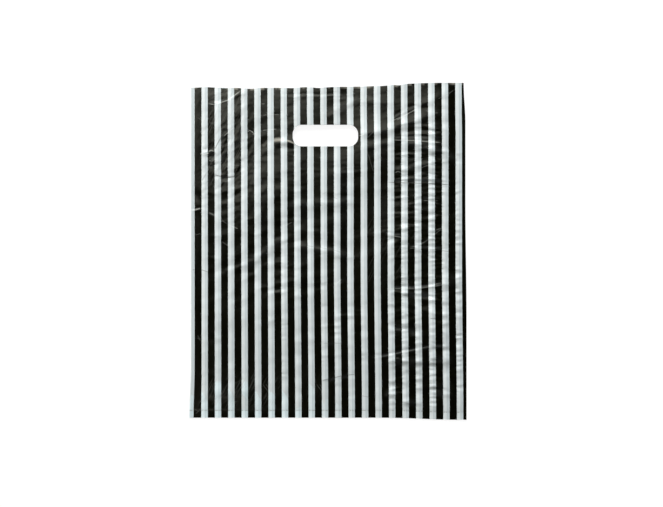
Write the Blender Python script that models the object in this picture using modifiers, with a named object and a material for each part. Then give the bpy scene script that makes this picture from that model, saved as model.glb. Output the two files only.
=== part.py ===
"""Plastic carrier bag with a punched handle, lying flat on its back panel.

The bag is one piece of film. A blown tube is pressed flat, so that the front and back panels run into
each other at a fold down each side. One hot bar seals the two panels together just above the bottom
edge, and leaves a skirt of two loose layers below it. One die punches the handle slot through both
panels. Black bars are printed up the pearly white film, and those of the back panel lie a little to
the left of those of the front panel.

Metres, +Z up. The back panel lies on z = 0, +Y points to the mouth, and the origin is the middle of
the footprint.
"""

import math

import bmesh
import bpy

# Bag
BAG_WIDTH = 0.254
BAG_HEIGHT = 0.305
FILM = 0.00005

# Side folds and bottom seal
FOLD_RADIUS = 0.00012
FOLD_STEPS = 3
SEAL_RISE = 0.0068
SEAL_WIDTH = 0.0012

# Air between the panels, which lifts the front panel clear of the folds and the seal
AIR = 0.0013
AIR_EASE = 0.030
WAVE_SHARE = 0.45
WAVES = ((0.118, 0.236, 0.1), (0.071, -0.142, 0.7), (-0.230, 0.093, 0.4))

# Handle slot
SLOT_LENGTH = 0.0605
SLOT_HEIGHT = 0.020
SLOT_CORNER = 0.0085
SLOT_BELOW_MOUTH = 0.0441
SLOT_OFFSET = -0.0025
SLOT_CORNER_STEPS = 5

# Print: distances run across a panel, from its left fold
BAR_PITCH = 0.0124
BAR_WIDTH = 0.0062
FIRST_BAR = 0.0034
BACK_SHIFT = -0.0025

# Pull of the film, which leaves the outline a little off a rectangle. A start or an end is a share of
# the way across from the left fold or up from the foot, and a span is how far the easing runs.
MOUTH_RISE = 0.0047
MOUTH_RISE_START = 0.50
MOUTH_RISE_SPAN = 0.42
FOOT_DROP = 0.0019
FOOT_DROP_START = 0.70
FOOT_DROP_SPAN = 0.27
LEFT_FLARE = 0.0014
LEFT_FLARE_SPAN = 0.16
RIGHT_BOW = 0.00105
RIGHT_BOW_END = 0.65
RIGHT_BOW_SPAN = 0.35
RIGHT_TUCK = 0.0016
RIGHT_TUCK_START = 0.88

# Mesh
ROW_PITCH = 0.019
WELD = 0.000001
CUT_MARGIN = 0.004

# Colours, linear
WHITE_FILM = (0.68, 0.73, 0.73, 1.0)
BLACK_INK = (0.008, 0.009, 0.006, 1.0)

CENTRE_X = (RIGHT_BOW - LEFT_FLARE) / 2
CENTRE_Y = (BAG_HEIGHT + MOUTH_RISE - FOOT_DROP) / 2


def smooth(share):
    """Ease from 0 to 1 with level ends."""
    share = min(max(share, 0.0), 1.0)
    return share * share * (3 - 2 * share)


def outline_point(across, up):
    """Place on the flat outline: across from left fold to right, up from foot to mouth, each 0 to 1."""
    left = FOLD_RADIUS - BAG_WIDTH / 2 - LEFT_FLARE * smooth(1 - up / LEFT_FLARE_SPAN)
    right = BAG_WIDTH / 2 - FOLD_RADIUS + RIGHT_BOW * smooth((RIGHT_BOW_END - up) / RIGHT_BOW_SPAN)
    right -= RIGHT_TUCK * smooth((up - RIGHT_TUCK_START) / (1 - RIGHT_TUCK_START))
    foot = -FOOT_DROP * smooth((across - FOOT_DROP_START) / FOOT_DROP_SPAN)
    mouth = BAG_HEIGHT + MOUTH_RISE * smooth((across - MOUTH_RISE_START) / MOUTH_RISE_SPAN)
    return left + (right - left) * across - CENTRE_X, foot + (mouth - foot) * up - CENTRE_Y


def puff(across, up):
    """Lift of the front panel over its pressed height: none at the folds and the seal."""
    from_fold = BAG_WIDTH * min(across, 1 - across)
    from_seal = BAG_HEIGHT * up - SEAL_RISE - SEAL_WIDTH
    x = BAG_WIDTH * across
    y = BAG_HEIGHT * up
    wave = 0.0
    for length_x, length_y, start in WAVES:
        wave += math.sin(2 * math.pi * (x / length_x + y / length_y + start)) / len(WAVES)
    lift = AIR * (1 + WAVE_SHARE * wave)
    return lift * smooth(from_fold / AIR_EASE) * smooth(from_seal / AIR_EASE)


def print_columns(first_bar):
    """Colour changes across a panel, from its left fold, as (distance, inked to the right of it)."""
    columns = [(0.0, False)]
    start = first_bar - BAR_PITCH
    while start < BAG_WIDTH:
        for edge, inked in ((start, True), (start + BAR_WIDTH, False)):
            if edge <= 0:
                columns[0] = (0.0, inked)
            elif edge < BAG_WIDTH:
                columns.append((edge, inked))
        start += BAR_PITCH
    return columns


def tube_ring():
    """Section of the pressed tube, over the front and back under it: (across, angle, inked after it)."""
    front = print_columns(FIRST_BAR)
    back = print_columns(FIRST_BAR + BACK_SHIFT)
    left_ink = front[0][1]
    right_ink = front[-1][1]
    fold_turns = [180 * step / FOLD_STEPS for step in range(FOLD_STEPS)]

    ring = [(distance / BAG_WIDTH, 90, inked) for distance, inked in front]
    ring += [(1.0, 90 - turn, right_ink) for turn in fold_turns]
    ring.append((1.0, -90, back[-1][1]))
    for index in range(len(back) - 1, 0, -1):
        ring.append((back[index][0] / BAG_WIDTH, -90, back[index - 1][1]))
    ring += [(0.0, -90 - turn, left_ink) for turn in fold_turns]
    return ring


def film_point(across, angle, up, depth):
    """Point of the tube's wall, at a depth below its outer face; the panels have angle 90 and -90."""
    x, y = outline_point(across, up)
    radius = FOLD_RADIUS - depth
    turn = math.radians(angle)
    lift = puff(across, up) if angle == 90 else 0.0
    return x + radius * math.cos(turn), y, FOLD_RADIUS + radius * math.sin(turn) + lift


def tube_mesh(name, rises, depth, capped):
    """Sheet wrapped round the tube's section and welded to itself, at rises above the foot."""
    ring = tube_ring()
    bm = bmesh.new()
    bmesh.ops.create_grid(bm, x_segments=len(ring), y_segments=len(rises) - 1, size=1)
    for face in bm.faces:
        column = int((face.calc_center_median().x + 1) / 2 * len(ring))
        face.material_index = int(ring[column][2])
    for vert in bm.verts:
        column = round((vert.co.x + 1) / 2 * len(ring)) % len(ring)
        row = round((vert.co.y + 1) / 2 * (len(rises) - 1))
        across, angle, _ = ring[column]
        vert.co = film_point(across, angle, rises[row] / BAG_HEIGHT, depth)
    bmesh.ops.remove_doubles(bm, verts=bm.verts, dist=WELD)
    if capped:
        bmesh.ops.holes_fill(bm, edges=[edge for edge in bm.edges if edge.is_boundary], sides=0)
        bmesh.ops.recalc_face_normals(bm, faces=bm.faces)
    mesh = bpy.data.meshes.new(name)
    bm.to_mesh(mesh)
    bm.free()
    return mesh


def slot_mesh():
    """Prism of the handle slot, standing on end through both panels."""
    bm = bmesh.new()
    bmesh.ops.create_cube(bm, size=1)
    depth = 2 * (CUT_MARGIN + AIR + FOLD_RADIUS)
    bmesh.ops.scale(bm, vec=(SLOT_LENGTH, SLOT_HEIGHT, depth), verts=bm.verts)
    upright = [edge for edge in bm.edges if abs(edge.verts[0].co.z - edge.verts[1].co.z) > depth / 2]
    radius = min(SLOT_CORNER, 0.49 * SLOT_HEIGHT, 0.49 * SLOT_LENGTH)
    bmesh.ops.bevel(
        bm,
        geom=upright,
        offset=radius,
        segments=SLOT_CORNER_STEPS,
        affect="EDGES",
        profile=0.5,
        material=-1,
    )
    mesh = bpy.data.meshes.new("handle_slot")
    bm.to_mesh(mesh)
    bm.free()
    return mesh


def new_material(name, colour, roughness):
    """Opaque film or ink."""
    material = bpy.data.materials.new(name)
    material.use_nodes = True
    shader = material.node_tree.nodes["Principled BSDF"]
    shader.inputs["Base Color"].default_value = colour
    shader.inputs["Roughness"].default_value = roughness
    shader.inputs["Metallic"].default_value = 0.0
    material.diffuse_color = colour
    return material


def new_collection(name):
    """Collection linked to the scene."""
    collection = bpy.data.collections.new(name)
    bpy.context.scene.collection.children.link(collection)
    return collection


def add_object(name, mesh, collection):
    """Object that shows a mesh."""
    item = bpy.data.objects.new(name, mesh)
    collection.objects.link(item)
    return item


def add_cutter(name, mesh, collection):
    """Object that only works on others."""
    cutter = add_object(name, mesh, collection)
    cutter.hide_render = True
    cutter.display_type = "WIRE"
    return cutter


def add_boolean(item, cutter, operation):
    """Join or cut an item by a cutter."""
    modifier = item.modifiers.new(cutter.name, "BOOLEAN")
    modifier.object = cutter
    modifier.operation = operation
    modifier.solver = "EXACT"


def film_rises():
    """Heights of the tube's rows: bottom edge, either side of the seal, then even rows to the mouth."""
    seal_low = SEAL_RISE - SEAL_WIDTH
    seal_high = SEAL_RISE + SEAL_WIDTH
    rows = max(round((BAG_HEIGHT - seal_high) / ROW_PITCH), 1)
    upper = [seal_high + (BAG_HEIGHT - seal_high) * row / rows for row in range(rows + 1)]
    return [0.0, seal_low] + upper


def add_bag(collection, cutters):
    """The film tube with its seal joined in and its handle slot punched out."""
    bag = add_object("carrier_bag", tube_mesh("carrier_bag", film_rises(), 0.0, False), collection)
    bag.data.materials.append(new_material("white_film", WHITE_FILM, 0.34))
    bag.data.materials.append(new_material("black_ink", BLACK_INK, 0.30))

    wall = bag.modifiers.new("wall", "SOLIDIFY")
    wall.thickness = FILM
    wall.offset = -1
    wall.use_even_offset = True

    seal_rises = [SEAL_RISE - SEAL_WIDTH / 2, SEAL_RISE + SEAL_WIDTH / 2]
    seal = add_cutter("bottom_seal", tube_mesh("bottom_seal", seal_rises, FILM / 2, True), cutters)
    add_boolean(bag, seal, "UNION")

    slot = add_cutter("handle_slot", slot_mesh(), cutters)
    slot.location = (SLOT_OFFSET - CENTRE_X, BAG_HEIGHT - SLOT_BELOW_MOUTH - CENTRE_Y, 0)
    add_boolean(bag, slot, "DIFFERENCE")


def clear_scene():
    """Start from an empty scene."""
    for item in list(bpy.data.objects):
        bpy.data.objects.remove(item, do_unlink=True)


def main():
    clear_scene()
    add_bag(new_collection("Plastic carrier bag"), new_collection("Cutters"))


main()
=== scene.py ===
"""Plastic carrier bag with a punched handle, lying on its back panel: film, print, studio and camera.

The bag is one piece of blown film. A tube is pressed flat, sealed by one hot bar above the bottom edge
and punched with one handle slot. Its outline and the lift of its front panel are those of the part's
source, but with scallops along the mouth and a gentler rise from the seal. The creases, the crinkles
and the print are made here.

Metres, +Z up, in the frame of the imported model. Tables of creases are in millimetres across from the
left fold and up from the foot.
"""

import math

import bmesh
import bpy
import numpy as np
from bpy.props import FloatProperty, FloatVectorProperty, PointerProperty
from bpy.types import Operator, Panel, PropertyGroup
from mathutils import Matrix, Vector, noise


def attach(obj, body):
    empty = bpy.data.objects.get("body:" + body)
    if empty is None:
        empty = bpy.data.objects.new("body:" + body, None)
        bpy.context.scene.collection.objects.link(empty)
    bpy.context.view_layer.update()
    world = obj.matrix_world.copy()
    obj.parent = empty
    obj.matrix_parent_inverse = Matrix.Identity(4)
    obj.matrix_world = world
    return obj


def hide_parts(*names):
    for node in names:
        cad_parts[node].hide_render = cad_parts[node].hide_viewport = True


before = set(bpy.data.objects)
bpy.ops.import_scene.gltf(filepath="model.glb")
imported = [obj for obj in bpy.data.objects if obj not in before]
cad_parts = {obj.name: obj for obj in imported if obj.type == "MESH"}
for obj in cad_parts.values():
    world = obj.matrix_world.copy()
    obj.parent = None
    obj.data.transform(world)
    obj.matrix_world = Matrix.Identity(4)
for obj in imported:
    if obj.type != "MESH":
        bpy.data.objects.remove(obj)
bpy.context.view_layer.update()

bl_info = {
    "name": "Plastic carrier bag",
    "version": (1, 0, 0),
    "blender": (4, 5, 0),
    "location": "View3D > Sidebar > Carrier bag",
    "description": "Crinkled printed film of a punched-handle carrier bag, with its studio and camera",
    "category": "Object",
}

MM = 0.001

# Bag, as in the part's source
BAG_WIDTH = 0.254
BAG_HEIGHT = 0.305
FILM = 0.00005
FOLD_RADIUS = 0.00012
SEAL_RISE = 0.0068
SEAL_WIDTH = 0.0012

# Air between the panels. The lift eases in from the side folds and from the seal, and waves add to it or
# take from it: (length across, length up, start in turns). The skirt is pressed down by a share of the
# seal's own drop, and the back panel follows a share of the ridges over it.
AIR = 0.0013
AIR_EASE = 0.030
SEAL_EASE = 0.090
SKIRT_PRESS = 0.8
WAVE_SHARE = 0.45
WAVES = ((0.118, 0.236, 0.1), (0.071, -0.142, 0.7), (-0.230, 0.093, 0.4))
LEAST_GAP = 0.00003
BACK_FOLLOWS = 0.3
BACK_FOLLOWS_UP_TO = 0.0004
SEAL_FOLD_EASE = 0.01

# Handle slot
SLOT_LENGTH = 0.0605
SLOT_HEIGHT = 0.020
SLOT_CORNER = 0.0085
SLOT_BELOW_MOUTH = 0.0441
SLOT_OFFSET = -0.0025

# Part of the sheet that is searched for the slot, as shares of its width and height, how near a vertex
# counts, and how near one is moved onto the outline before the punch, as a share of a row
SLOT_SEARCH_ACROSS = 0.2
SLOT_SEARCH_UP = 0.7
SLOT_NEAR = 0.006
SLOT_SNAP = 0.45

# Pull of the film, which leaves the outline a little off a rectangle. A start or an end is a share of
# the way across from the left fold or up from the foot, and a span is how far the easing runs.
MOUTH_RISE = 0.0047
MOUTH_RISE_START = 0.50
MOUTH_RISE_SPAN = 0.42
FOOT_DROP = 0.0019
FOOT_DROP_START = 0.70
FOOT_DROP_SPAN = 0.27
LEFT_FLARE = 0.0014
LEFT_FLARE_SPAN = 0.16
RIGHT_BOW = 0.00105
RIGHT_BOW_END = 0.65
RIGHT_BOW_SPAN = 0.35
RIGHT_TUCK = 0.0016
RIGHT_TUCK_START = 0.88
CENTRE_X = (RIGHT_BOW - LEFT_FLARE) / 2
CENTRE_Y = (BAG_HEIGHT + MOUTH_RISE - FOOT_DROP) / 2

# Scallops of the mouth edge, in millimetres: (place across, reach along the edge, height). They fade out
# below it over a share of the bag's height.
SCALLOP_FADE = 0.10
SCALLOPS = (
    (14, 8, 0.62),
    (31, 3, -0.62),
    (55, 5.5, -0.95),
    (94, 5, -0.32),
    (107, 5, 0.60),
    (119.5, 2, -0.50),
    (134, 7, 0.62),
    (148, 9, 0.45),
    (179, 5, -0.50),
    (194, 2.6, -0.95),
)

# Mesh: columns are closest where the film is crinkled and at the slot's ends. A zone is (end, width of
# a column).
FRONT_ZONES = (
    (0.072, 0.00165),
    (0.091, 0.0030),
    (0.104, 0.0014),
    (0.144, 0.0034),
    (0.157, 0.0014),
    (0.176, 0.0030),
    (BAG_WIDTH, 0.00165),
)
BACK_ZONES = (
    (0.0935, 0.0187),
    (0.1045, 0.0016),
    (0.1445, 0.0133),
    (0.1555, 0.0016),
    (BAG_WIDTH, 0.0197),
)
ROW = 0.00106
FOLD_STEPS = 4
WELD = 0.000001

# Print: the first bar's start, and how the draw of the film has moved the bars across. A place, a start
# or a span is (across, up), as shares of the bag.
FIRST_BAR = 0.00287
BACK_SHIFT = -0.00275
DRAW_MIDDLE = 0.57
DRAW_LEAST = -0.00064
DRAW_LEFT = 0.0031
DRAW_RIGHT = 0.0052
DRAW_BEND = 1.5
FOOT_DRAW = 0.0012
FOOT_DRAW_SPAN = (0.5, 0.46)
WAIST_DRAW = 0.00035
WAIST_PLACE = (0.3, 0.38)
WAIST_SPAN = (0.15, 0.2)
MOUTH_DRAW = -0.00028
MOUTH_DRAW_START = (0.25, 0.84)
MOUTH_DRAW_SPAN = (0.15, 0.1)
FOLD_GRIP = 0.075

# Creases pressed into the front panel, as (kind, height, width, points). A ridge stands up, and a
# negative one sinks. A step rises towards the left of its line, so its middle faces right of it. Each
# fades out over a share of its length at both ends, and all do near the folds and the seal.
CREASE_TAPER = 0.22
FOLD_FADE = 6
SEAL_FADE = 5
CREASES = (
    # Right third
    ("step", 0.31, 0.9, ((181, 217.5), (212, 217), (242, 215.4))),
    ("step", -0.18, 0.9, ((186, 257), (208, 256.2), (233, 254.6))),
    ("step", -0.14, 1, ((213, 201), (230, 200.6))),
    ("step", -0.34, 1, ((179, 119.6), (208, 119.2), (231, 122.8), (238, 125))),
    ("ridge", 0.33, 4, ((226, 121.5), (240, 125.5), (253, 130))),
    ("step", -0.14, 1, ((200, 156.6), (214, 156.4), (230, 153.8))),
    ("step", 0.18, 1, ((218, 156.4), (241, 154.4))),
    ("step", -0.12, 1, ((200, 155.5), (216, 160.5), (233, 175))),
    ("step", -0.2, 1, ((179, 169.5), (196, 167))),
    ("step", 0.36, 1.6, ((192, 112.6), (228, 112.4))),
    ("step", -0.22, 1, ((163, 55.2), (181, 57.6), (222, 66.2), (240, 67))),
    ("ridge", 0.5, 2.8, ((178, 51.6), (198, 51.2), (218, 51.4))),
    ("ridge", 0.4, 2.2, ((218, 54.2), (243, 54.4))),
    ("ridge", 0.38, 1.9, ((178, 22.2), (192, 21.6))),
    ("ridge", 0.38, 1.9, ((193, 14.6), (217, 14.2))),
    ("ridge", 0.38, 2, ((219, 23.4), (243, 22.6))),
    ("ridge", -0.36, 1.9, ((182, 83.2), (196, 81), (207, 78.6), (217, 75.2))),
    ("ridge", -0.26, 1.6, ((244, 35.2), (253, 36.4))),
    ("ridge", -0.3, 1.8, ((182, 163.6), (190, 164.4))),
    ("ridge", 0.26, 1.8, ((194, 173.6), (204, 173))),
    ("ridge", 0.24, 2.4, ((222, 28.5), (244, 29.5))),
    # Top right
    ("step", -0.16, 1, ((183, 273), (196, 279.5), (211, 285.4))),
    ("ridge", 0.21, 2, ((208, 284), (226, 290), (244, 301))),
    ("ridge", 0.5, 3.2, (
        (158, 264), (174, 262.6), (186, 264.6), (198, 269.6), (214, 273.6), (226, 275),
    )),
    ("ridge", 0.28, 2.8, ((156, 249), (174, 250.6), (186, 253), (196, 258))),
    ("ridge", 0.42, 2.4, (
        (194, 249), (205, 250.5), (217, 247), (230, 243.5), (242, 237.5), (251, 230.5),
    )),
    ("ridge", 0.3, 2.2, ((184, 225.5), (205, 229), (217, 230.5), (231, 231.5))),
    # Middle
    ("step", 0.13, 1, ((119, 33.6), (138, 37), (154, 40.8))),
    ("step", 0.09, 1, ((119, 68.8), (141, 68.8))),
    ("ridge", 0.28, 2.2, ((92, 157.4), (104, 156.9), (124, 154.6), (139, 151), (150, 146.6))),
    ("step", -0.16, 1, ((133, 123), (141, 129))),
    ("ridge", 0.36, 2.6, ((46, 135), (56, 142.5), (68, 153), (81, 163), (96, 168.5))),
    ("step", -0.13, 1.2, ((70, 116), (90, 118.2))),
    ("ridge", 0.28, 3, ((86, 195.4), (102, 196.8), (120, 198.6), (144, 199.6), (160, 196.6))),
    ("step", -0.13, 1, ((77, 298.2), (110, 297.8), (143, 298.4))),
    ("ridge", 0.24, 2.2, ((122, 277), (136, 285.5), (150, 290.5), (160, 296.5))),
    # Left edge and top left
    ("step", -0.36, 0.9, ((1, 192), (10, 193.8))),
    ("ridge", -0.3, 3.4, ((2, 203), (8, 207))),
    ("step", -0.18, 0.9, ((16, 190), (23, 186.8))),
    ("ridge", -0.33, 1.6, ((27, 222), (36, 221))),
    ("step", 0.18, 0.9, ((21, 224.8), (31, 222.4), (44, 222.8))),
    ("ridge", 0.45, 1.4, ((10, 244.6), (18, 245.6), (22, 247.6))),
    ("ridge", -0.3, 1.3, ((16, 241.4), (23, 243))),
    ("ridge", 0.39, 1.3, ((16, 238.6), (22, 236))),
    ("ridge", -0.24, 1.2, ((15, 233.8), (22, 232.6))),
    ("step", -0.22, 1, ((14, 290.4), (26, 292), (36, 294.8), (48, 303.4))),
    ("step", -0.14, 0.9, ((29, 259), (36, 265))),
    ("step", 0.25, 1, ((11, 226), (18, 234), (23, 243), (29, 258), (33, 270))),
    ("step", 0.22, 1, ((9, 206), (14, 214), (19, 223))),
    ("step", 0.18, 1, ((33, 222), (38, 240), (46, 262), (52, 280))),
    ("step", 0.18, 1, ((24, 226), (30, 240), (36, 254))),
    # Pinches at the slot's ends
    ("ridge", 0.45, 2.2, ((76, 252.8), (84, 254.8), (97, 254.4))),
    ("ridge", -0.16, 2, ((78, 249.8), (86, 250.4), (98, 249.6))),
    ("ridge", 0.27, 1.8, ((155, 262), (162, 261.6), (170, 262.4))),
    # Bottom left
    ("ridge", 0.3, 4.5, ((10, 27), (40, 25), (70, 27))),
    ("ridge", -0.24, 3, ((56, 24), (68, 26))),
)

# Fine crinkles, as (left, foot, right, mouth) of the crinkled part, the fade at its rim, direction in
# degrees, length, width and height of a crinkle, and seed
CRINKLES = (
    ((176, 4, 254, 130), 18, -2, 40, 8.5, 0.4, 3.1),
    ((178, 2, 208, 130), 12, 3, 15, 4.8, 0.4, 8.7),
    ((217, 2, 236, 262), 7, -6, 15, 3.8, 0.5, 4.2),
    ((240, 2, 254, 240), 6, 12, 13, 4.2, 0.42, 7.9),
    ((176, 2, 254, 130), 18, 24, 22, 7, 0.22, 14.3),
    ((176, 135, 254, 285), 18, -2, 34, 7, 0.24, 23.1),
    ((178, 135, 222, 250), 12, 5, 16, 4.6, 0.2, 28.7),
    ((2, 200, 64, 305), 10, 64, 40, 3.8, 0.24, 5.3),
    ((2, 200, 60, 305), 10, 40, 22, 3.8, 0.2, 5.9),
    ((2, 120, 110, 305), 16, 30, 22, 11, 0.22, 1.9),
    ((60, 110, 150, 215), 20, 4, 30, 9, 0.16, 19.3),
    ((80, 4, 200, 305), 24, 3, 52, 12, 0.18, 6.4),
    ((100, 4, 180, 120), 20, 8, 16, 6, 0.2, 6.9),
    ((2, 2, 120, 140), 20, 12, 34, 11, 0.24, 9.6),
    ((82, 36, 93, 88), 4, 3, 9, 2.8, 0.3, 21.7),
    ((2, 2, 150, 34), 8, 50, 10, 3.4, 0.14, 17.9),
    ((2, 2, 254, 303), 10, 5, 9, 3.2, 0.055, 12.5),
)

# Hairlines of sharp creases, in millimetres: (width, points). Along a highlight hairline a painted
# highlight lightens the ink and the white film, along a shaded one a painted shadow of the fold darkens
# the white film, and along a stain the ink has gone to a beige film, with a painted sheen in one. A list
# is (strength, hairlines).
CREASE_HIGHLIGHTS = (
    (0.95, (
        # A small tear at the slot's right end, and after it painted highlights along creases
        (1.2, ((156, 260.6), (158.2, 261.2), (160.6, 262.6))),
        (1.4, ((8.6, 244.2), (12.6, 243.6), (17, 244.6))),
    )),
    (0.6, (
        (1.8, ((0.4, 192.1), (4.6, 192.4), (8.9, 193.7))),
        (1.2, ((184.2, 273.8), (198.6, 279.9), (209, 285.6))),
        (1.4, ((15.6, 290.6), (21.9, 289.4), (34.4, 293.6), (46.4, 302.4))),
        (1.2, ((52.4, 264), (54.4, 265.8), (56.6, 264.6), (58.8, 262.2))),
    )),
    (0.45, (
        (1.9, ((16.6, 245.8), (18.8, 247.4), (21.6, 246.2))),
        (1.5, ((186, 256.9), (208, 256.2), (232, 254.4))),
        (1.2, ((189, 226.6), (191.6, 227.8), (194.4, 226.8))),
        (1.4, ((181.2, 169.2), (195.2, 166.8))),
        (1, ((34.4, 178.6), (43.8, 174.8))),
        (1.1, ((190, 275), (202, 281.6))),
        (1.2, ((30.6, 260.2), (34.9, 264.2), (40, 268.4))),
        (1.2, ((66, 265.4), (72, 266.4), (79.6, 266.8))),
        (1.1, ((57, 261.6), (61.6, 263.8))),
        (1.2, ((134.6, 123.8), (139.2, 128))),
    )),
    (0.24, (
        (1.4, ((180, 119.5), (207.8, 119.3), (222, 121.2), (233, 122.9))),
        (1.6, ((16.8, 238.4), (19.4, 236.6), (22.6, 239.4))),
        (1.2, ((214.8, 200.8), (221, 201), (228.6, 200.6))),
        (1, ((16.4, 190), (22.2, 187))),
        (1.2, ((66, 279.6), (74, 280.4), (82.4, 280.2))),
        (1.1, ((65.8, 290.2), (68.6, 290.4))),
        (1.2, ((212.8, 231), (220.4, 233.8))),
    )),
    (0.13, (
        (1.2, ((202, 156.6), (207.6, 156.7), (213.8, 156.2))),
        (1.1, ((174, 56.2), (181, 57.4), (201.4, 62.1), (222, 66.3))),
        (1.1, ((218, 120), (228, 124.4), (237, 125.2))),
        (1.2, ((160.6, 256), (167, 262.6), (173.4, 268.6))),
        (1.2, ((22.2, 187), (29, 182.6), (34.4, 178.6))),
        (1.2, ((28.6, 163.2), (37.8, 156.6))),
        (1.2, ((4, 169), (9.2, 170.4))),
        (1.1, ((204, 157.6), (216.2, 162.4), (233, 175.4))),
        (1.4, ((226.8, 173.6), (232.4, 175.6))),
        (1.2, ((231, 293.6), (243.4, 303.4))),
        (1.2, ((228.4, 294.4), (239.6, 301.6))),
        (1.4, ((216.6, 284), (228.8, 281.6))),
        (1.2, ((110, 298), (141.6, 298.3))),
        (1.4, ((82.6, 175.2), (94.4, 181.2))),
        (1.2, ((6, 277.8), (12.4, 273.6))),
        (1.2, ((17.4, 272.6), (22.2, 272.2))),
        (1.2, ((39.4, 233.6), (45.2, 233.2))),
        (1.2, ((30.2, 218.8), (36, 218.4))),
        (1.1, ((5.8, 74.2), (9.6, 71.2))),
        (1.1, ((6.2, 76.4), (8.6, 72.6))),
        (1.1, ((2.6, 8.6), (8, 5.2))),
        (1.1, ((4.4, 3.4), (9.4, 8.8))),
        (1.1, ((66.6, 31), (72.6, 22.6))),
        (1.1, ((69.4, 31.4), (74.4, 23.4))),
        (1.1, ((116.2, 31.2), (122.2, 23))),
        (1.1, ((119, 31), (124.6, 24))),
    )),
    (0.09, (
        (1.2, ((154.4, 254.6), (158.8, 251), (164.4, 242.6), (169, 226.8))),
        (9, ((132, 282.6), (144.7, 287.6), (154, 292.6), (170, 297.4))),
        (5, ((132, 294.6), (146, 297))),
    )),
)
# Painted shadows of folds, darkening the white film
SHADED = (
    (0.85, (
        (1.5, ((181, 217.7), (209, 217), (241.6, 215.5))),
        (1, ((221.2, 91.9), (227.6, 91.6))),
        (1, ((120.4, 34.2), (134.8, 37.6), (141.2, 39.2), (153, 40.2))),
        (1.6, ((21.8, 224.8), (29, 222.8), (36, 222.4), (43, 223.2))),
        (1.2, ((22.4, 248.6), (25.4, 254.4), (28.8, 260.2))),
    )),
    (0.6, (
        (1.2, ((0.8, 136.6), (7.6, 137.6), (16.8, 134.6))),
        (1.2, ((219.4, 156.2), (239.6, 153.6))),
    )),
    (0.32, (
        (1.4, ((9.6, 218.4), (13.8, 224.6), (17.6, 232.2))),
        (1.1, ((122, 68.9), (141, 68.9))),
        (1.2, ((128, 204.4), (136, 202.6))),
        (1.4, ((154, 21), (169, 18.6))),
        (1.2, ((183, 52.6), (192, 51.4))),
        (1.4, ((103.4, 159.6), (120, 157.4), (133.8, 154.6), (148, 150.2))),
    )),
    (0.16, (
        (1.4, ((34.6, 250), (38, 257), (40.6, 264.6))),
        (1.4, ((28, 226), (34, 240), (42, 262), (47.4, 284))),
        (1.2, ((13, 262), (21, 276), (27, 291))),
        (1.2, ((1, 212), (5.6, 222), (9, 233))),
        (1.2, ((60, 246.4), (66.6, 250.6), (74.4, 251.6))),
        (1.1, ((121, 206), (134, 214))),
    )),
)
# Beige stains on the ink, and one weak painted sheen
STAINS_AND_SHEEN = (
    (0.56, (
        (5.6, ((75.4, 256.4), (80, 257.2), (88, 257))),
        (2.8, ((86, 256.8), (91, 255.7), (97.6, 253))),
    )),
    (0.09, (
        # A painted sheen on the ink beside the pinch at the slot's left end
        (5, ((66.2, 250.8), (71.8, 256.4))),
        (6, ((124, 279), (136, 284))),
    )),
    (0.04, (
        (5, ((96, 285), (104, 300))),
        (7, ((10, 300), (30, 299), (52, 304))),
    )),
)

# Scuffed parts, where fine scratches cross the ink, as (left, foot, right, mouth), the fade at the rim
# and how scuffed it is
SCUFFS = (
    ((2, 206, 62, 305), 16, 1),
    ((2, 2, 90, 36), 12, 0.8),
    ((100, 10, 140, 40), 10, 0.3),
    ((150, 110, 215, 200), 16, 0.45),
)

# Colours of the film where it is sealed, rubbed or bare, painted shadows and highlights, and how much
# shows
# Brighter, bluer tint of lobes at the foot
FOOT_LOBE_TINT = (1.09, 1.15, 1.17, 1.0)
SEAL_DOTS = (0.30, 0.32, 0.31, 1.0)
SEAL_DOTS_SHARE = 0.55
# Painted shadow of folds
FOLD_SHADOW = (0.16, 0.17, 0.17, 1.0)
# Painted highlight along crease hairlines on the white film
FILM_CREASE_HIGHLIGHT = (0.88, 0.92, 0.92, 1.0)
RUBBED_FILM = (0.45, 0.47, 0.47, 1.0)
RUBBED_FILM_SHARE = 0.30
RUBBED_INK = (0.60, 0.60, 0.54, 1.0)
RUBBED_INK_SHARE = 0.055
# Painted highlight along crease hairlines on the ink
INK_CREASE_HIGHLIGHT = (0.62, 0.63, 0.58, 1.0)
INK_CREASE_HIGHLIGHT_SHARE = 0.62
# Beige of bare film, also used for the painted highlight of the lip and a painted sheen
BEIGE_FILM_AND_HIGHLIGHT = (0.54, 0.515, 0.445, 1.0)
# Share of the painted highlight on the curled lip
LIP_HIGHLIGHT_SHARE = 0.42
# Painted highlight on the ink along sharply pressed creases
CREASE_HIGHLIGHT_ON_INK_SHARE = 0.03
THROUGH_SHARE = 0.93
INSIDE_SHARE = 0.85
DULL_FILM = 0.955
DULL_THROUGH = 0.93
INSIDE_SHADE = 0.80
THIN_INK = 1.8

# Brighter, bluer lobes at the foot: least and most rise, edge, and the bars over which they end. Then the
# edges of the curled lip with its painted highlight, below the mouth, and of the seal's dotted line, off
# its middle.
LOBE_RISE = (0.008, 0.034)
LOBE_EDGE = (-0.0022, 0.0012)
LOBE_BARS = (6.0, 14.0)
LIP_EDGE = (0.0024, 0.0006)
SEAL_LINE_EDGE = (0.0002, 0.0008)

# Softness and waver of a bar's edge, in bar pitches. The bars that show through have more of both.
PRINT_SOFTNESS = 0.006
THROUGH_SOFTNESS = 0.035
EDGE_WAVER = 0.012
THROUGH_WAVER = 3.0

# Least and most roughness, how much glossier ink is, and the heights of the fine relief
ROUGHNESS = (0.25, 0.33)
INK_GLOSS = 0.09
DRAWN_LINE_HEIGHT = 0.0000022
GRAIN_HEIGHT = 0.000006
SCRATCH_HEIGHT = 0.000012

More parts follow.
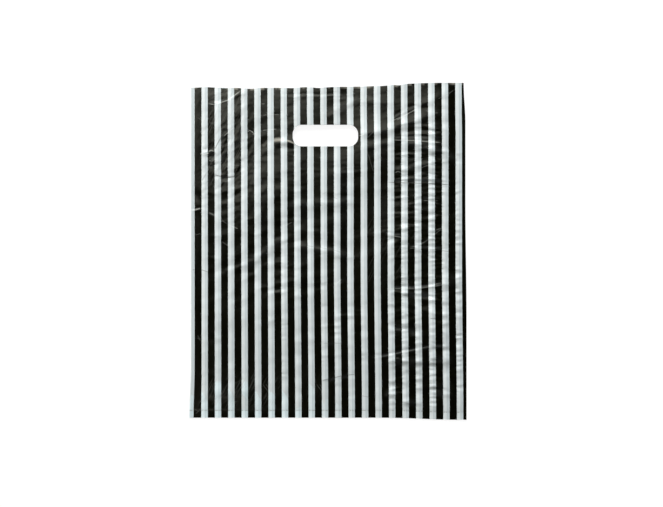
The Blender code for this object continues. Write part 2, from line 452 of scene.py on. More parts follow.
# Studio: lamps as (place, size, colour), the camera's place over the floor, tones from 0 to 1, and the
# rise over which the walls turn into the ceiling
KEY_LAMP = ((-0.46, 2.68, 0.73), (1.0, 1.0), (1.0, 1.0, 1.0))
CEILING_LAMP = ((-0.27, 0.80, 1.6), (0.78, 1.26), (1.0, 1.0, 0.86))
FILL_LAMP = ((-0.40, -0.62, 1.6), (0.3, 0.3), (1.0, 0.96, 0.80))
CAMERA_PLACE = (0.00332, -0.0020)
FLOOR_DROP = 0.0003
FLOOR_TONE = 0.16
FLOOR_GLOW = 0.90
WALL_TONE = 0.90
CEILING_TONE = 0.008
CEILING_SPAN = (0.02, 0.55)


class CarrierBagSettings(PropertyGroup):
    """Sizes and colours of the film bag."""

    bar_pitch: FloatProperty(
        name="Bar pitch",
        description="Distance from one printed bar to the next",
        default=0.01236,
        min=0.004,
        subtype="DISTANCE",
    )
    bar_width: FloatProperty(
        name="Bar width",
        description="Width of a printed bar",
        default=0.00653,
        min=0.001,
        subtype="DISTANCE",
    )
    crinkle: FloatProperty(
        name="Crinkle",
        description="Height of the creases and crinkles, as a share of their usual height",
        default=1.0,
        min=0.0,
        max=1.5,
        subtype="FACTOR",
    )
    white_film: FloatVectorProperty(
        name="White film",
        description="Colour of the unprinted film",
        default=(0.745, 0.795, 0.802, 1.0),
        size=4,
        subtype="COLOR",
    )
    black_ink: FloatVectorProperty(
        name="Black ink",
        description="Colour of the printed bars",
        default=(0.0012, 0.0011, 0.0001, 1.0),
        size=4,
        subtype="COLOR",
    )
    show_through: FloatVectorProperty(
        name="Show-through",
        description="Colour of white film over a bar of the other panel",
        default=(0.565, 0.632, 0.655, 1.0),
        size=4,
        subtype="COLOR",
    )


class CarrierBagStudioSettings(PropertyGroup):
    """Lamps, camera and floor."""

    key_power: FloatProperty(
        name="Key lamp",
        description="Power of the low soft lamp beyond the mouth",
        default=246.0,
        min=0.0,
        unit="POWER",
    )
    ceiling_power: FloatProperty(
        name="Ceiling lamp",
        description="Power of the broad lamp overhead, whose glow the film shows near its mouth",
        default=4.9,
        min=0.0,
        unit="POWER",
    )
    fill_power: FloatProperty(
        name="Fill lamp",
        description="Power of the soft lamp beyond the foot",
        default=0.54,
        min=0.0,
        unit="POWER",
    )
    lens: FloatProperty(
        name="Lens",
        description="Focal length of the camera, in millimetres on a 36 mm sensor",
        default=85.0,
        min=20.0,
    )
    view_width: FloatProperty(
        name="View width",
        description="Width of floor that the camera sees",
        default=0.6133,
        min=0.1,
        subtype="DISTANCE",
    )
    floor_size: FloatProperty(
        name="Floor size",
        description="Side of the square floor",
        default=14.0,
        min=2.0,
        subtype="DISTANCE",
    )


# Sockets of the hairline node group, and how far along a hairline its ends taper, as a share of it
HAIRLINE_INPUTS = (
    ("NodeSocketFloat", ("Across", "Up", "Rise", "Fall", "Strength", "Other")),
    ("NodeSocketVector", ("Start", "Turn", "Size")),
)
HAIRLINE_TAPER = 0.12


def smooth(share):
    """Ease from 0 to 1 with level ends."""
    share = np.clip(share, 0.0, 1.0)
    return share * share * (3 - 2 * share)


def outline_place(across, up):
    """Place on the flat outline: across from left fold to right, up from foot to mouth, each 0 to 1."""
    left = FOLD_RADIUS - BAG_WIDTH / 2 - LEFT_FLARE * smooth(1 - up / LEFT_FLARE_SPAN)
    right = BAG_WIDTH / 2 - FOLD_RADIUS + RIGHT_BOW * smooth((RIGHT_BOW_END - up) / RIGHT_BOW_SPAN)
    right = right - RIGHT_TUCK * smooth((up - RIGHT_TUCK_START) / (1 - RIGHT_TUCK_START))
    foot = -FOOT_DROP * smooth((across - FOOT_DROP_START) / FOOT_DROP_SPAN)
    mouth = BAG_HEIGHT + MOUTH_RISE * smooth((across - MOUTH_RISE_START) / MOUTH_RISE_SPAN)
    for place, reach, height in SCALLOPS:
        from_place = (across * BAG_WIDTH / MM - place) / reach
        mouth = mouth + height * MM * np.exp(-0.5 * from_place**2) * smooth(1 - (1 - up) / SCALLOP_FADE)
    return left + (right - left) * across - CENTRE_X, foot + (mouth - foot) * up - CENTRE_Y


def puff(across, up):
    """Lift of the front panel over its pressed height, as in the part's source but gentler at the seal."""
    from_fold = BAG_WIDTH * np.minimum(across, 1 - across)
    from_seal = BAG_HEIGHT * up - SEAL_RISE - SEAL_WIDTH
    x = BAG_WIDTH * across
    y = BAG_HEIGHT * up
    wave = 0.0
    for length_x, length_y, start in WAVES:
        wave = wave + np.sin(2 * math.pi * (x / length_x + y / length_y + start)) / len(WAVES)
    lift = AIR * (1 + WAVE_SHARE * wave)
    return lift * smooth(from_fold / AIR_EASE) * smooth(from_seal / SEAL_EASE)


def line_place(x, y, points):
    """Signed distance from a line of points, left of it positive, and share of the way along it."""
    nearest = np.full(x.shape, 1e9)
    signed = np.zeros(x.shape)
    along = np.zeros(x.shape)
    lengths = [math.dist(start, end) for start, end in zip(points, points[1:])]
    done = 0.0
    for (start_x, start_y), (end_x, end_y), length in zip(points, points[1:], lengths):
        step_x = (end_x - start_x) / length
        step_y = (end_y - start_y) / length
        run = (x - start_x) * step_x + (y - start_y) * step_y
        run = np.clip(run, 0, length)
        away_x = x - start_x - step_x * run
        away_y = y - start_y - step_y * run
        distance = np.hypot(away_x, away_y)
        side = np.where(step_x * away_y - step_y * away_x < 0, -1.0, 1.0)
        closer = distance < nearest
        nearest = np.where(closer, distance, nearest)
        signed = np.where(closer, side * distance, signed)
        along = np.where(closer, (done + run) / sum(lengths), along)
        done += length
    return signed, along


def crease_lift(x, y, crease):
    """Height of one crease, in millimetres, and how sharply it is pressed, 0 to 1."""
    kind, height, width, points = crease
    signed, along = line_place(x, y, points)
    reach = signed / width
    fade = smooth(np.minimum(along, 1 - along) / CREASE_TAPER)
    bell = np.exp(-0.5 * reach * reach) * fade
    if kind == "step":
        return height * reach * bell, bell * min(abs(height) / width * 4, 1)
    return height * bell, bell * min(abs(height) / width * 2, 1)


def region_share(x, y, region, fade):
    """How far inside a region a place is, 0 to 1. It eases at the rim, or past it towards the mouth."""
    left, foot, right, mouth = region
    sides = smooth(np.minimum(x - left, right - x) / fade)
    return sides * smooth(np.minimum(y - foot, mouth - y + fade) / fade)


def crinkle_lift(x, y, turn, length, width, seed):
    """Ridges of noise drawn out along a direction, about -0.5 to 0.5."""
    cos_turn = math.cos(math.radians(turn))
    sin_turn = math.sin(math.radians(turn))
    along = (x * cos_turn + y * sin_turn) / length
    over = (y * cos_turn - x * sin_turn) / width
    places = zip(along.tolist(), over.tolist())
    ridges = [0.5 - 1.6 * abs(noise.noise(Vector((a, o, seed)))) for a, o in places]
    return np.array(ridges)


def front_relief(across, up, strength):
    """Height of the front panel's creases and crinkles, in metres, and how sharply it is creased."""
    x = across * BAG_WIDTH / MM
    y = up * BAG_HEIGHT / MM
    lift = np.zeros(x.shape)
    sharp = np.zeros(x.shape)
    for crease in CREASES:
        height, pressed = crease_lift(x, y, crease)
        lift += height
        sharp = np.maximum(sharp, pressed)
    for region, fade, turn, length, width, height, seed in CRINKLES:
        share = region_share(x, y, region, fade)
        inside = share > 0
        ridges = crinkle_lift(x[inside], y[inside], turn, length, width, seed)
        lift[inside] += height * share[inside] * ridges
    from_fold = np.minimum(x, BAG_WIDTH / MM - x)
    lift *= smooth(from_fold / FOLD_FADE) * smooth((y - SEAL_RISE / MM - 1) / SEAL_FADE)
    return lift * MM * strength, sharp


def bar_phase(x, up, shift, pitch):
    """Print position in bar pitches at a flat place: a whole number where a bar starts."""
    distance = x + CENTRE_X + BAG_WIDTH / 2
    across = distance / BAG_WIDTH
    draw = DRAW_LEAST + DRAW_LEFT * np.maximum(DRAW_MIDDLE - across, 0) ** DRAW_BEND
    draw = draw + DRAW_RIGHT * np.maximum(across - DRAW_MIDDLE, 0) ** DRAW_BEND
    draw = draw + FOOT_DRAW * smooth(1 - up / FOOT_DRAW_SPAN[1]) * smooth(across / FOOT_DRAW_SPAN[0])
    waist_across = (across - WAIST_PLACE[0]) / WAIST_SPAN[0]
    waist_up = (up - WAIST_PLACE[1]) / WAIST_SPAN[1]
    draw = draw + WAIST_DRAW * np.exp(-0.5 * (waist_up**2 + waist_across**2))
    mouth_across = smooth((across - MOUTH_DRAW_START[0]) / MOUTH_DRAW_SPAN[0])
    draw = draw + MOUTH_DRAW * smooth((up - MOUTH_DRAW_START[1]) / MOUTH_DRAW_SPAN[1]) * mouth_across
    grip = np.clip(1 - across / FOLD_GRIP, 0, 1) ** 2
    draw = draw - LEFT_FLARE * smooth(1 - up / LEFT_FLARE_SPAN) * grip
    return (distance - FIRST_BAR - shift - draw) / pitch


def column_shares(zones):
    """Columns of a panel, as shares of the way across from the left fold."""
    places = [0.0]
    start = 0.0
    for end, width in zones:
        columns = round((end - start) / width)
        places += [start + (end - start) * (step + 1) / columns for step in range(columns)]
        start = end
    return [place / BAG_WIDTH for place in places]


def ring_stations():
    """Section of the pressed tube, over the front and back under it, as (across, turn in degrees)."""
    turns = [180 * step / FOLD_STEPS for step in range(1, FOLD_STEPS)]
    ring = [(across, 90) for across in column_shares(FRONT_ZONES)]
    ring += [(1.0, 90 - turn) for turn in turns]
    ring += [(across, -90) for across in reversed(column_shares(BACK_ZONES))]
    ring += [(0.0, -90 - turn) for turn in turns]
    return ring + [(0.0, -270)]


def row_rises():
    """Heights of the rows above the foot, close together at the seal."""
    half = SEAL_WIDTH / 2
    seal = [SEAL_RISE - 2 * half, SEAL_RISE - half, SEAL_RISE + half, SEAL_RISE + 2 * half]
    skirt = [seal[0] * step / 4 for step in range(4)]
    rows = round((BAG_HEIGHT - seal[-1]) / ROW)
    upper = [seal[-1] + (BAG_HEIGHT - seal[-1]) * step / rows for step in range(1, rows + 1)]
    return skirt + seal + upper


def slot_distance(x, y):
    """Distance outside the handle slot's outline, and the direction away from it."""
    from_x = x - (SLOT_OFFSET - CENTRE_X)
    from_y = y - (BAG_HEIGHT - SLOT_BELOW_MOUTH - CENTRE_Y)
    over_x = abs(from_x) - (SLOT_LENGTH / 2 - SLOT_CORNER)
    over_y = abs(from_y) - (SLOT_HEIGHT / 2 - SLOT_CORNER)
    side_x = math.copysign(1, from_x)
    side_y = math.copysign(1, from_y)
    if over_x > 0 and over_y > 0:
        reach = math.hypot(over_x, over_y)
        return reach - SLOT_CORNER, side_x * over_x / reach, side_y * over_y / reach
    if over_x > over_y:
        return over_x - SLOT_CORNER, side_x, 0.0
    return over_y - SLOT_CORNER, 0.0, side_y


def flat_slot_distance(vert):
    """Slot distance and direction at a vertex of the flat sheet."""
    x, y = outline_place(vert.co.x / BAG_WIDTH, vert.co.y / BAG_HEIGHT)
    return slot_distance(float(x), float(y))


def move_to_slot(vert):
    """Move a vertex of the flat sheet onto the slot's outline."""
    distance, away_x, away_y = flat_slot_distance(vert)
    vert.co.x -= distance * away_x
    vert.co.y -= distance * away_y


def punch_slot(bm):
    """Punch the handle slot through both panels of the flat sheet."""
    middle = 0.5 + SLOT_OFFSET / BAG_WIDTH
    near = []
    for vert in bm.verts:
        beside = abs(vert.co.x / BAG_WIDTH - middle) < SLOT_SEARCH_ACROSS
        if beside and vert.co.y > SLOT_SEARCH_UP * BAG_HEIGHT:
            if abs(vert.co.z) == 90 and flat_slot_distance(vert)[0] < SLOT_NEAR:
                near.append(vert)
    for vert in near:
        if abs(flat_slot_distance(vert)[0]) < SLOT_SNAP * ROW:
            move_to_slot(vert)
    inside = []
    for face in dict.fromkeys(face for vert in near for face in vert.link_faces):
        centre = face.calc_center_median()
        x, y = outline_place(centre.x / BAG_WIDTH, centre.y / BAG_HEIGHT)
        if slot_distance(float(x), float(y))[0] < 0:
            inside.append(face)
    bmesh.ops.delete(bm, geom=inside, context="FACES")
    for vert in near:
        if vert.is_valid and vert.is_boundary:
            move_to_slot(vert)


def flat_sheet():
    """Grid of film laid out flat: metres across and up, with the turn round the tube as its height."""
    ring = ring_stations()
    rises = row_rises()
    bm = bmesh.new()
    bmesh.ops.create_grid(bm, x_segments=len(ring) - 1, y_segments=len(rises) - 1, size=1)
    for vert in bm.verts:
        across, turn = ring[round((vert.co.x + 1) / 2 * (len(ring) - 1))]
        rise = rises[round((vert.co.y + 1) / 2 * (len(rises) - 1))]
        vert.co = (across * BAG_WIDTH, rise, turn)
    return bm


def add_print_maps(bm, pitch):
    """UV maps that count bar pitches across and metres up, for this panel and for the other one."""
    own_map = bm.loops.layers.uv.new("print")
    other_map = bm.loops.layers.uv.new("show_through")
    bm.verts.index_update()
    flat = np.array([vert.co for vert in bm.verts])
    up = flat[:, 1] / BAG_HEIGHT
    x, _ = outline_place(flat[:, 0] / BAG_WIDTH, up)
    back_share = 1 - np.abs(flat[:, 2] + 90) / 180
    own = bar_phase(x, up, BACK_SHIFT * back_share, pitch)
    other = bar_phase(x, up, BACK_SHIFT * (1 - back_share), pitch)
    for face in bm.faces:
        for loop in face.loops:
            index = loop.vert.index
            loop[own_map].uv = (own[index], flat[index, 1])
            loop[other_map].uv = (other[index], flat[index, 1])


def scuff_share(across, up):
    """How scuffed the front panel is at a place, 0 to 1."""
    share = np.zeros(across.shape)
    for region, fade, amount in SCUFFS:
        here = region_share(across * BAG_WIDTH / MM, up * BAG_HEIGHT / MM, region, fade)
        share = np.maximum(share, here * amount)
    return share


def wrap_tube(bm, strength):
    """Wrap the flat sheet into the pressed tube, with its air, creases, crinkles and seal."""
    crease_layer = bm.verts.layers.float.new("crease")
    scuff_layer = bm.verts.layers.float.new("scuff")
    bm.verts.index_update()
    flat = np.array([vert.co for vert in bm.verts])
    across = flat[:, 0] / BAG_WIDTH
    up = flat[:, 1] / BAG_HEIGHT
    turn = np.radians(flat[:, 2])
    front = (flat[:, 2] == 90) | (flat[:, 2] == -270)
    back = flat[:, 2] == -90
    x, y = outline_place(across, up)
    relief, sharp = front_relief(across, up, strength)
    scuffed = scuff_share(across, up)
    least = LEAST_GAP - 2 * FOLD_RADIUS + 2 * FILM
    lift = np.maximum(puff(across, up) + relief, least)
    under = BACK_FOLLOWS * np.clip(relief, 0, BACK_FOLLOWS_UP_TO)
    under = under * smooth(puff(across, up) / BACK_FOLLOWS_UP_TO)
    pressed = smooth(1 - np.abs(flat[:, 1] - SEAL_RISE) / SEAL_WIDTH)
    pressed = np.maximum(pressed, SKIRT_PRESS * (flat[:, 1] < SEAL_RISE))
    from_fold = np.minimum(across, 1 - across)
    seal_drop = (2 * FOLD_RADIUS - 2 * FILM) * pressed * smooth(from_fold / SEAL_FOLD_EASE)
    z = FOLD_RADIUS + FOLD_RADIUS * np.sin(turn)
    z = z + np.where(front, lift - seal_drop, 0) + np.where(back, under, 0)
    x = x + FOLD_RADIUS * np.where(front | back, 0, np.cos(turn))
    for vert in bm.verts:
        index = vert.index
        vert.co = (x[index], y[index], z[index])
        vert[crease_layer] = sharp[index] if front[index] else 0.0
        vert[scuff_layer] = scuffed[index] if front[index] else 0.0
    bmesh.ops.remove_doubles(bm, verts=bm.verts, dist=WELD)


def film_mesh(name, settings):
    """Mesh of the film bag's outer face, open at its mouth, foot and slot."""
    bm = flat_sheet()
    punch_slot(bm)
    add_print_maps(bm, settings.bar_pitch)
    wrap_tube(bm, settings.crinkle)
    for face in bm.faces:
        face.smooth = True
    for edge in bm.edges:
        edge.smooth = not edge.is_boundary
    mesh = bpy.data.meshes.new(name)
    bm.to_mesh(mesh)
    bm.free()
    return mesh


def feed(tree, socket, value):
    """Give a socket a link or a plain value."""
    if isinstance(value, bpy.types.NodeSocket):
        tree.links.new(value, socket)
    else:
        socket.default_value = value


def maths(tree, operation, first, second=0.0):
    """Result of a sum on one or two values."""
    node = tree.nodes.new("ShaderNodeMath")
    node.operation = operation
    feed(tree, node.inputs[0], first)
    feed(tree, node.inputs[1], second)
    return node.outputs[0]


def times(tree, first, second):
    """Product of two values."""
    return maths(tree, "MULTIPLY", first, second)


def eased(tree, value, low, high, at_low=0.0, at_high=1.0):
    """Value eased from one range to another, held at its ends."""
    node = tree.nodes.new("ShaderNodeMapRange")
    node.interpolation_type = "SMOOTHSTEP"
    names = ("Value", "From Min", "From Max", "To Min", "To Max")
    for name, number in zip(names, (value, low, high, at_low, at_high)):
        feed(tree, node.inputs[name], number)
    return node.outputs["Result"]


def mixed(tree, share, first, second, blend_type="MIX"):
    """Blend of two colours."""
    node = tree.nodes.new("ShaderNodeMix")
    node.data_type = "RGBA"
    node.blend_type = blend_type
    for socket, value in ((0, share), (6, first), (7, second)):
        feed(tree, node.inputs[socket], value)
    return node.outputs[2]


def toned(colour, factor):
    """Colour times a factor, with its fourth value left at 1."""
    return tuple(value * factor for value in colour[:3]) + (1.0,)


def mottle(tree, turn, scale, detail):
    """Noise, about 0.25 to 0.75, on coordinates turned by an angle in degrees, then scaled per metre."""
    place = tree.nodes.new("ShaderNodeTexCoord")
    mapping = tree.nodes.new("ShaderNodeMapping")
    mapping.inputs["Rotation"].default_value = (0, 0, math.radians(-turn))
    tree.links.new(place.outputs["Object"], mapping.inputs["Vector"])
    stretch = tree.nodes.new("ShaderNodeVectorMath")
    stretch.operation = "MULTIPLY"
    tree.links.new(mapping.outputs["Vector"], stretch.inputs[0])
    stretch.inputs[1].default_value = scale
    node = tree.nodes.new("ShaderNodeTexNoise")
    node.inputs["Scale"].default_value = 1.0
    node.inputs["Detail"].default_value = detail
    tree.links.new(stretch.outputs["Vector"], node.inputs["Vector"])
    return node.outputs["Fac"]


def parts(tree, vector):
    """X, Y and Z of a vector."""
    split = tree.nodes.new("ShaderNodeSeparateXYZ")
    tree.links.new(vector, split.inputs["Vector"])
    return split.outputs


def map_place(tree, map_name):
    """Across and up of a print map."""
    uv_map = tree.nodes.new("ShaderNodeUVMap")
    uv_map.uv_map = map_name
    place = parts(tree, uv_map.outputs["UV"])
    return place["X"], place["Y"]


def bar_share(tree, map_name, settings, softness, wobble):
    """How far a place is covered by a bar of a print map, 0 to 1. Softness is in pitches."""
    across, _ = map_place(tree, map_name)
    half = settings.bar_width / settings.bar_pitch / 2
    moved = maths(tree, "ADD", across, wobble)
    from_middle = maths(tree, "PINGPONG", maths(tree, "SUBTRACT", moved, half), 0.5)
    outside = maths(tree, "SUBTRACT", from_middle, half)
    return eased(tree, outside, -softness, softness, 1.0, 0.0)


def arrange(tree):
    """Lay a tree's nodes out in columns, by how many links each is from the output."""
    depth = {}
    waiting = [(node, 0) for node in tree.nodes if not any(out.is_linked for out in node.outputs)]
    while waiting:
        node, column = waiting.pop()
        if depth.get(node, -1) < column:
            depth[node] = column
            sources = [link.from_node for put in node.inputs for link in put.links]
            waiting += [(source, column + 1) for source in sources]
    rows = {}
    for node, column in depth.items():
        row = rows.get(column, 0)
        node.location = (-220 * column, -200 * row)
        rows[column] = row + 1


def hairline_group():
    """Node group: the greater of a value and the share of a place that one straight hairline covers.

    The value rides along as the place's third coordinate, so that hairlines are worked out one by one.
    """
    tree = bpy.data.node_groups.new("hairline", "ShaderNodeTree")
    for kind, names in HAIRLINE_INPUTS:
        for name in names:
            tree.interface.new_socket(name, in_out="INPUT", socket_type=kind)
    tree.interface.new_socket("Share", in_out="OUTPUT", socket_type="NodeSocketFloat")
    given = tree.nodes.new("NodeGroupInput").outputs
    place = tree.nodes.new("ShaderNodeCombineXYZ")
    for name, axis in (("Across", "X"), ("Up", "Y"), ("Other", "Z")):
        tree.links.new(given[name], place.inputs[axis])
    mapping = tree.nodes.new("ShaderNodeMapping")
    mapping.vector_type = "TEXTURE"
    tree.links.new(place.outputs["Vector"], mapping.inputs["Vector"])
    for name, part in (("Start", "Location"), ("Turn", "Rotation"), ("Size", "Scale")):
        tree.links.new(given[name], mapping.inputs[part])
    mapped = parts(tree, mapping.outputs["Vector"])
    along = mapped["X"]
    share = eased(tree, maths(tree, "ABSOLUTE", mapped["Y"]), 0.0, 0.5, given["Strength"], 0.0)
    share = times(tree, share, eased(tree, along, -0.01, given["Rise"]))
    share = times(tree, share, eased(tree, along, given["Fall"], 1.01, 1.0, 0.0))
    result = tree.nodes.new("NodeGroupOutput")
    tree.links.new(maths(tree, "MAXIMUM", share, mapped["Z"]), result.inputs["Share"])
    arrange(tree)
    return tree


def hairline_share(tree, group, lists):
    """How far the hairlines of some lists cover a place, each tapered towards its ends."""
    place = parts(tree, tree.nodes.new("ShaderNodeTexCoord").outputs["Object"])
    share = 0.0
    for strength, hairlines in lists:
        for width, points in hairlines:
            lengths = [math.dist(start, end) for start, end in zip(points, points[1:])]
            taper = HAIRLINE_TAPER * sum(lengths)
            for index, (start, end, length) in enumerate(zip(points, points[1:], lengths)):
                node = tree.nodes.new("ShaderNodeGroup")
                node.node_tree = group
                turn = math.atan2(end[1] - start[1], end[0] - start[0])
                left = start[0] * MM - BAG_WIDTH / 2 - CENTRE_X
                last = index == len(lengths) - 1
                values = {
                    "Across": place["X"],
                    "Up": place["Y"],
                    "Start": (left, start[1] * MM - CENTRE_Y, 0.0),
                    "Turn": (0.0, 0.0, turn),
                    "Size": (length * MM, width * MM, 1.0),
                    "Rise": min(taper / length, 1.0) if index == 0 else 0.0,
                    "Fall": max(1 - taper / length, 0.0) if last else 1.0,
                    "Strength": strength,
                    "Other": share,
                }
                for name, value in values.items():
                    feed(tree, node.inputs[name], value)
                share = node.outputs["Share"]
    return share


def brighten_foot_lobes(tree, colour, across, up):
    """Colour made brighter and bluer in lobes at the foot, most on the left."""
    lobe_top = eased(tree, mottle(tree, 20, (85, 30, 30), 1.0), 0.3, 0.7, *LOBE_RISE)
    above = maths(tree, "SUBTRACT", up, lobe_top)
    inside = eased(tree, above, *LOBE_EDGE, 1.0, 0.0)
    inside = times(tree, inside, eased(tree, across, *LOBE_BARS, 1.0, 0.0))
    return mixed(tree, inside, colour, FOOT_LOBE_TINT, "MULTIPLY")


def lip_highlight_share(tree, up):
    """Share of beige painted as a highlight on the curled mouth edge, in patches along it."""
    lip = eased(tree, up, BAG_HEIGHT - LIP_EDGE[0], BAG_HEIGHT - LIP_EDGE[1])
    patches = eased(tree, mottle(tree, 0, (95, 30, 30), 2.0), 0.48, 0.60)
    return times(tree, times(tree, lip, patches), LIP_HIGHLIGHT_SHARE)


def scratch_share(tree):
    """Fine scratches in two directions, inside the scuffed parts."""
    scuff = tree.nodes.new("ShaderNodeAttribute")
    scuff.attribute_name = "scuff"
    steep = eased(tree, mottle(tree, 63, (46, 980, 60), 1.0), 0.55, 0.70)
    slant = eased(tree, mottle(tree, 40, (60, 1050, 60), 1.0), 0.59, 0.72)
    either = maths(tree, "MAXIMUM", steep, times(tree, slant, 0.6))
    return times(tree, either, scuff.outputs["Fac"])


def film_material(name, settings, printed):
    """Pearly film: outside with its bars, or inside with only what shows through."""
    material = bpy.data.materials.new(name)
    material.use_nodes = True
    tree = material.node_tree
    shader = tree.nodes["Principled BSDF"]

    edge_mottle = mottle(tree, 0, (420, 160, 420), 1.0)
    wobble = times(tree, maths(tree, "SUBTRACT", edge_mottle, 0.5), EDGE_WAVER)
    through_wobble = times(tree, wobble, THROUGH_WAVER)
    through = bar_share(tree, "show_through", settings, THROUGH_SOFTNESS, through_wobble)
    own = bar_share(tree, "print", settings, PRINT_SOFTNESS, wobble)

    cloud = eased(tree, mottle(tree, 0, (26, 18, 20), 3.0), 0.3, 0.7)
    drawn = eased(tree, mottle(tree, 0, (700, 9, 9), 2.0), 0.3, 0.7)
    dull = toned(settings.white_film, DULL_FILM)
    dull_through = toned(settings.show_through, DULL_THROUGH)
    film_tone = maths(tree, "ADD", times(tree, cloud, 0.6), times(tree, drawn, 0.4))
    plain = mixed(tree, film_tone, dull, settings.white_film)
    shaded = mixed(tree, film_tone, dull_through, settings.show_through)
    colour = mixed(tree, times(tree, through, THROUGH_SHARE), plain, shaded)

    across, up = map_place(tree, "print")
    colour = brighten_foot_lobes(tree, colour, across, up)
    from_seal = maths(tree, "ABSOLUTE", maths(tree, "SUBTRACT", up, SEAL_RISE))
    seal_line = eased(tree, from_seal, *SEAL_LINE_EDGE, 1.0, 0.0)
    dots = eased(tree, mottle(tree, 0, (900, 300, 300), 1.0), 0.40, 0.54)
    seal_dots = times(tree, seal_line, times(tree, dots, SEAL_DOTS_SHARE))
    colour = mixed(tree, seal_dots, colour, SEAL_DOTS)

    crease = tree.nodes.new("ShaderNodeAttribute")
    crease.attribute_name = "crease"
    pressed = crease.outputs["Fac"]
    scratch = mottle(tree, 62, (60, 900, 60), 2.0)
    if printed:
        hairline = hairline_group()
        crease_highlight_share = hairline_share(tree, hairline, CREASE_HIGHLIGHTS)
        fold_shadow_share = hairline_share(tree, hairline, SHADED)
        stain_and_sheen_share = hairline_share(tree, hairline, STAINS_AND_SHEEN)
        scratched = scratch_share(tree)
        # Painted shadow along the folds
        colour = mixed(tree, fold_shadow_share, colour, FOLD_SHADOW)
        colour = mixed(tree, times(tree, scratched, RUBBED_FILM_SHARE), colour, RUBBED_FILM)
        # Painted highlights along crease hairlines, on the white film here and on the ink below
        colour = mixed(tree, crease_highlight_share, colour, FILM_CREASE_HIGHLIGHT)
        ink_tone = eased(tree, mottle(tree, 0, (300, 60, 60), 3.0), 0.3, 0.7)
        thin_ink = toned(settings.black_ink, THIN_INK)
        ink = mixed(tree, ink_tone, settings.black_ink, thin_ink)
        # Painted highlight along sharply pressed creases
        ink = mixed(tree, times(tree, pressed, CREASE_HIGHLIGHT_ON_INK_SHARE), ink, settings.white_film)
        ink = mixed(tree, times(tree, scratched, RUBBED_INK_SHARE), ink, RUBBED_INK)
        # Beige stains, with the painted highlight of the lip and a painted sheen
        beige_and_highlight_share = maths(tree, "MAXIMUM", stain_and_sheen_share, lip_highlight_share(tree, up))
        ink = mixed(tree, beige_and_highlight_share, ink, BEIGE_FILM_AND_HIGHLIGHT)
        ink = mixed(tree, times(tree, crease_highlight_share, INK_CREASE_HIGHLIGHT_SHARE), ink, INK_CREASE_HIGHLIGHT)
        colour = mixed(tree, own, colour, ink)
        ink_share = own
    else:
        shadow = toned(settings.show_through, INSIDE_SHADE)
        colour = mixed(tree, times(tree, own, INSIDE_SHARE), colour, shadow)
        ink_share = 0.0
    feed(tree, shader.inputs["Base Color"], colour)

    gloss = mottle(tree, 0, (60, 24, 24), 3.0)
    rough = eased(tree, gloss, 0.25, 0.75, *ROUGHNESS)
    rough = maths(tree, "SUBTRACT", rough, times(tree, ink_share, INK_GLOSS))
    feed(tree, shader.inputs["Roughness"], rough)

    lines = times(tree, mottle(tree, 0, (1400, 16, 16), 1.0), DRAWN_LINE_HEIGHT)
    grain = times(tree, mottle(tree, 0, (900, 700, 700), 2.0), GRAIN_HEIGHT)
    streaks = times(tree, scratch, SCRATCH_HEIGHT)
    height = maths(tree, "ADD", maths(tree, "ADD", lines, grain), streaks)
    bump = tree.nodes.new("ShaderNodeBump")
    bump.inputs["Distance"].default_value = 1.0
    tree.links.new(height, bump.inputs["Height"])
    tree.links.new(bump.outputs["Normal"], shader.inputs["Normal"])
    arrange(tree)
    return material


def show(name, data):
    """Object that shows data, in the scene."""
    item = bpy.data.objects.new(name, data)
    bpy.context.scene.collection.objects.link(item)
    return item


def aim(item, place, target):
    """Put a lamp or camera in place, turned to a target."""
    item.location = place
    item.rotation_euler = (Vector(target) - Vector(place)).to_track_quat("-Z", "Y").to_euler()


def add_lamp(name, lamp_values, power, mirrored=True):
    """Soft rectangular lamp that shines at the bag. One that isn't mirrored puts no gloss on the film."""
    place, size, colour = lamp_values
    lamp = bpy.data.lights.new(name, "AREA")
    lamp.color = colour
    lamp.shape = "RECTANGLE"
    lamp.size = size[0]
    lamp.size_y = size[1]
    lamp.energy = power
    item = show(name, lamp)
    item.visible_glossy = mirrored
    aim(item, place, (0, 0, 0))


def floor_material():
    """White floor that keeps the bag's shadow."""
    material = bpy.data.materials.new("white_floor")
    material.use_nodes = True
    tree = material.node_tree
    shader = tree.nodes["Principled BSDF"]
    shader.inputs["Base Color"].default_value = (FLOOR_TONE, FLOOR_TONE, FLOOR_TONE, 1.0)
    shader.inputs["Roughness"].default_value = 0.9
    shader.inputs["Specular IOR Level"].default_value = 0.0
    path = tree.nodes.new("ShaderNodeLightPath")
    seen = maths(tree, "MAXIMUM", path.outputs["Is Camera Ray"], path.outputs["Is Glossy Ray"])
    seen = maths(tree, "MAXIMUM", seen, path.outputs["Is Transmission Ray"])
    shader.inputs["Emission Color"].default_value = (1.0, 1.0, 1.0, 1.0)
    tree.links.new(times(tree, seen, FLOOR_GLOW), shader.inputs["Emission Strength"])
    arrange(tree)
    return material


def studio_world():
    """Pale walls round a dim ceiling."""
    world = bpy.data.worlds.new("studio")
    world.use_nodes = True
    tree = world.node_tree
    direction = parts(tree, tree.nodes.new("ShaderNodeTexCoord").outputs["Generated"])
    ceiling = eased(tree, direction["Z"], *CEILING_SPAN)
    walls = (WALL_TONE, WALL_TONE, WALL_TONE, 1.0)
    colour = mixed(tree, ceiling, walls, (CEILING_TONE, CEILING_TONE, CEILING_TONE, 1.0))
    background = tree.nodes["Background"]
    tree.links.new(colour, background.inputs["Color"])
    background.inputs["Strength"].default_value = 1.0
    arrange(tree)
    bpy.context.scene.world = world


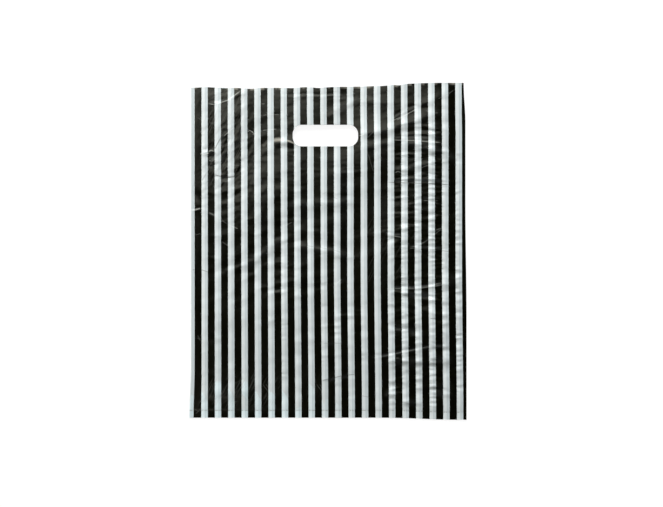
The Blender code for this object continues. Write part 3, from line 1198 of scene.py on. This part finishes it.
class CARRIERBAG_OT_film_bag(Operator):
    """Add the film bag in place of the plain bag of the frame"""

    bl_idname = "carrier_bag.film_bag"
    bl_label = "Film bag"

    def execute(self, context):
        settings = context.scene.carrier_bag
        bag = show("film_bag", film_mesh("film_bag", settings))
        bag.data.materials.append(film_material("printed_film", settings, True))
        bag.data.materials.append(film_material("film_inside", settings, False))
        wall = bag.modifiers.new("wall", "SOLIDIFY")
        wall.thickness = FILM
        wall.offset = -1
        wall.use_even_offset = False
        wall.material_offset = 1
        wall.material_offset_rim = 1
        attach(bag, "root")
        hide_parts("carrier_bag")
        return {"FINISHED"}


class CARRIERBAG_OT_studio(Operator):
    """Add the floor, the lamps, the surroundings and the camera"""

    bl_idname = "carrier_bag.studio"
    bl_label = "Studio"

    def execute(self, context):
        settings = context.scene.carrier_bag_studio
        bm = bmesh.new()
        bmesh.ops.create_grid(bm, x_segments=1, y_segments=1, size=settings.floor_size / 2)
        bmesh.ops.translate(bm, vec=(0, 0, -FLOOR_DROP), verts=bm.verts)
        mesh = bpy.data.meshes.new("floor")
        bm.to_mesh(mesh)
        bm.free()
        floor = show("floor", mesh)
        floor.data.materials.append(floor_material())

        add_lamp("key_lamp", KEY_LAMP, settings.key_power, mirrored=False)
        add_lamp("ceiling_lamp", CEILING_LAMP, settings.ceiling_power)
        add_lamp("fill_lamp", FILL_LAMP, settings.fill_power)
        studio_world()

        camera = bpy.data.cameras.new("camera")
        camera.lens = settings.lens
        camera.sensor_width = 36.0
        distance = settings.view_width * settings.lens / camera.sensor_width
        view = show("camera", camera)
        view.location = (*CAMERA_PLACE, distance)
        context.scene.camera = view
        context.scene.view_settings.view_transform = "Standard"
        return {"FINISHED"}


class CARRIERBAG_PT_panel(Panel):
    """Carrier bag tools"""

    bl_idname = "CARRIERBAG_PT_panel"
    bl_label = "Carrier bag"
    bl_space_type = "VIEW_3D"
    bl_region_type = "UI"
    bl_category = "Carrier bag"

    def draw(self, context):
        layout = self.layout
        for name in CarrierBagSettings.__annotations__:
            layout.prop(context.scene.carrier_bag, name)
        layout.operator(CARRIERBAG_OT_film_bag.bl_idname)
        for name in CarrierBagStudioSettings.__annotations__:
            layout.prop(context.scene.carrier_bag_studio, name)
        layout.operator(CARRIERBAG_OT_studio.bl_idname)


CLASSES = (
    CarrierBagSettings,
    CarrierBagStudioSettings,
    CARRIERBAG_OT_film_bag,
    CARRIERBAG_OT_studio,
    CARRIERBAG_PT_panel,
)


def register():
    for item in CLASSES:
        bpy.utils.register_class(item)
    bpy.types.Scene.carrier_bag = PointerProperty(type=CarrierBagSettings)
    bpy.types.Scene.carrier_bag_studio = PointerProperty(type=CarrierBagStudioSettings)


def unregister():
    del bpy.types.Scene.carrier_bag_studio
    del bpy.types.Scene.carrier_bag
    for item in reversed(CLASSES):
        bpy.utils.unregister_class(item)


def main():
    register()
    bpy.ops.carrier_bag.film_bag()
    bpy.ops.carrier_bag.studio()


if __name__ == "__main__":
    main()
